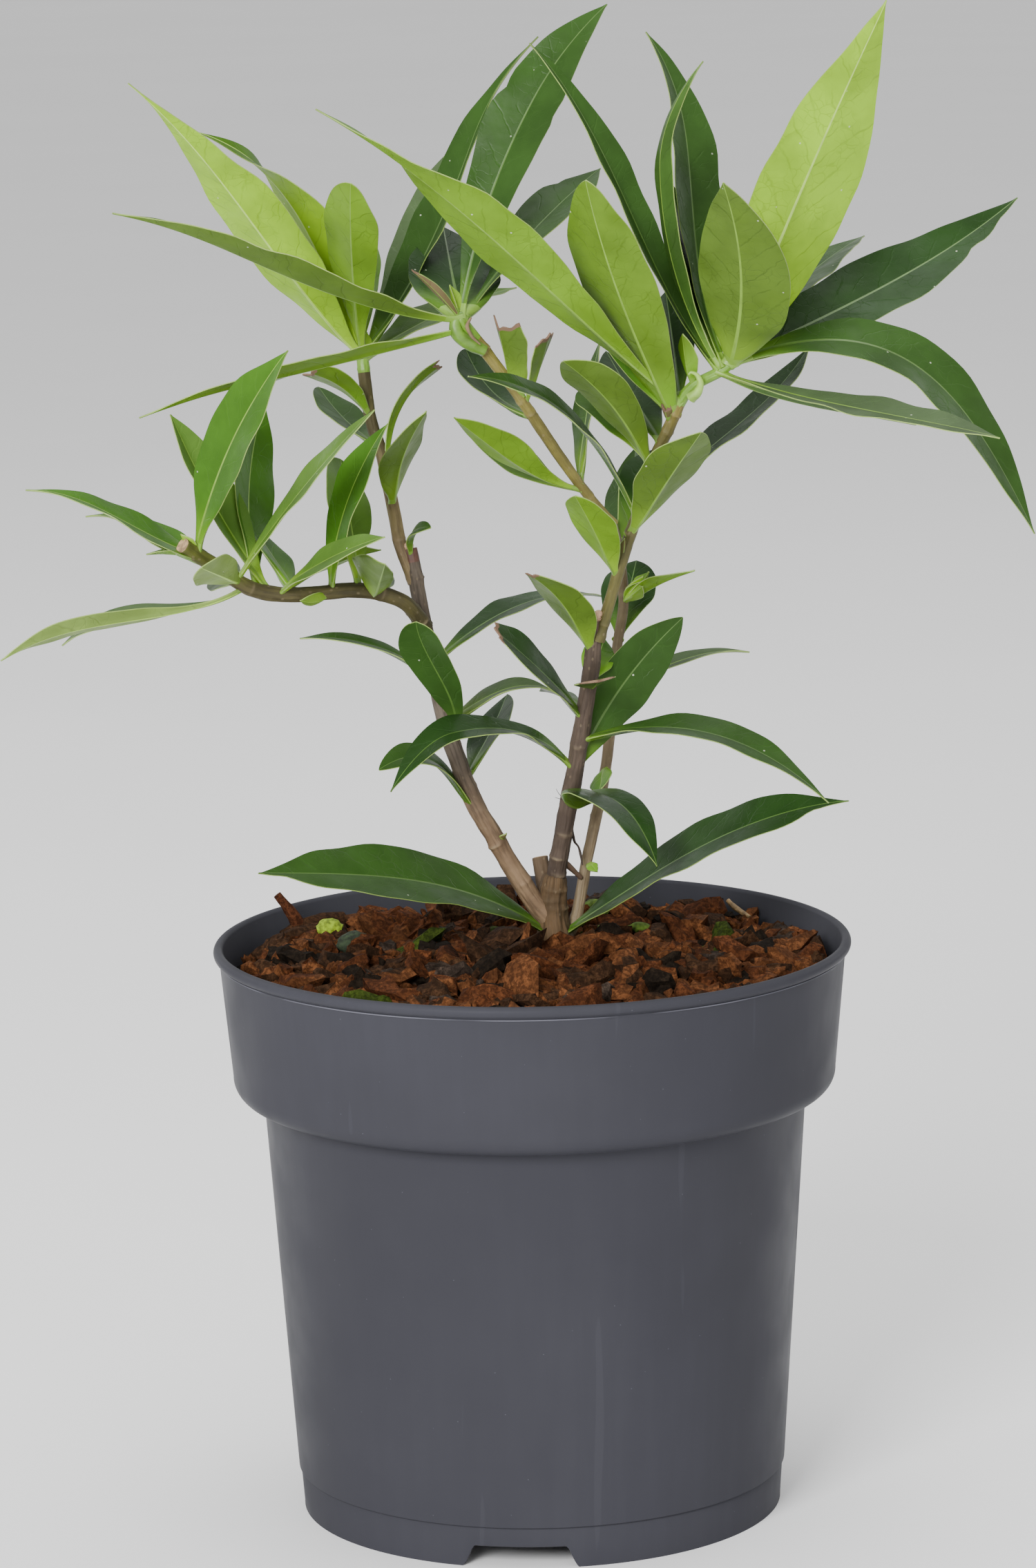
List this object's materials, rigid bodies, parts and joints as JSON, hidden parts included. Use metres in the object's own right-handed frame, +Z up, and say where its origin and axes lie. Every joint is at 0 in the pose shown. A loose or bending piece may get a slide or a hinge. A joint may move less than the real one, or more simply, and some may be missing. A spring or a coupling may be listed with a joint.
{
  "type": "potted daphne shrub",
  "caption": "Young evergreen daphne shrub with leafy crowns on bare stems, growing in bark in a round grey nursery pot.",
  "frame": {"origin": "middle of the flat underside of the pot, on the pot's axis", "axes": "+Z up along the pot's axis, -Y towards the front of the plant, +X to the right seen from the front"},
  "size_m": [0.2996, 0.19, 0.4504],
  "materials": {
    "pot": "satin blue-grey moulded plastic",
    "medium": "rough reddish-brown chipped bark, damp",
    "old_bark": "fine-grained grey-brown bark",
    "young_bark": "smooth olive-brown bark",
    "crown_leaves": "waxy yellow-green to mid-green leaves",
    "stem_leaves": "waxy dark green leaves"
  },
  "bodies": {
    "root": {"pot": "pot", "bark_medium": "medium", "trunk": "old_bark", "cut_stub": "old_bark", "centre_stem": "old_bark", "left_stem": "old_bark", "rear_stem": "young_bark", "left_crown": "crown_leaves", "side_crown": "crown_leaves", "middle_crown": "crown_leaves", "right_crown": "crown_leaves", "trunk_leaf_1": "stem_leaves", "trunk_leaf_2": "stem_leaves", "left_stem_leaf_1": "stem_leaves", "left_stem_leaf_2": "stem_leaves", "left_stem_leaf_3": "stem_leaves", "left_stem_leaf_4": "stem_leaves", "left_stem_leaf_5": "stem_leaves", "left_stem_leaf_6": "stem_leaves", "left_stem_leaf_7": "stem_leaves", "centre_stem_leaf_1": "stem_leaves", "centre_stem_leaf_2": "stem_leaves", "centre_stem_leaf_3": "stem_leaves", "centre_stem_leaf_4": "stem_leaves", "centre_stem_leaf_5": "stem_leaves", "centre_stem_leaf_6": "stem_leaves", "centre_stem_leaf_7": "stem_leaves", "centre_stem_leaf_8": "stem_leaves", "centre_stem_leaf_9": "stem_leaves", "rear_stem_leaf_1": "stem_leaves", "rear_stem_leaf_2": "stem_leaves", "rear_stem_leaf_3": "stem_leaves", "rear_stem_leaf_4": "stem_leaves", "rear_stem_leaf_5": "stem_leaves", "rear_stem_leaf_6": "stem_leaves"}
  },
  "joints": []
}
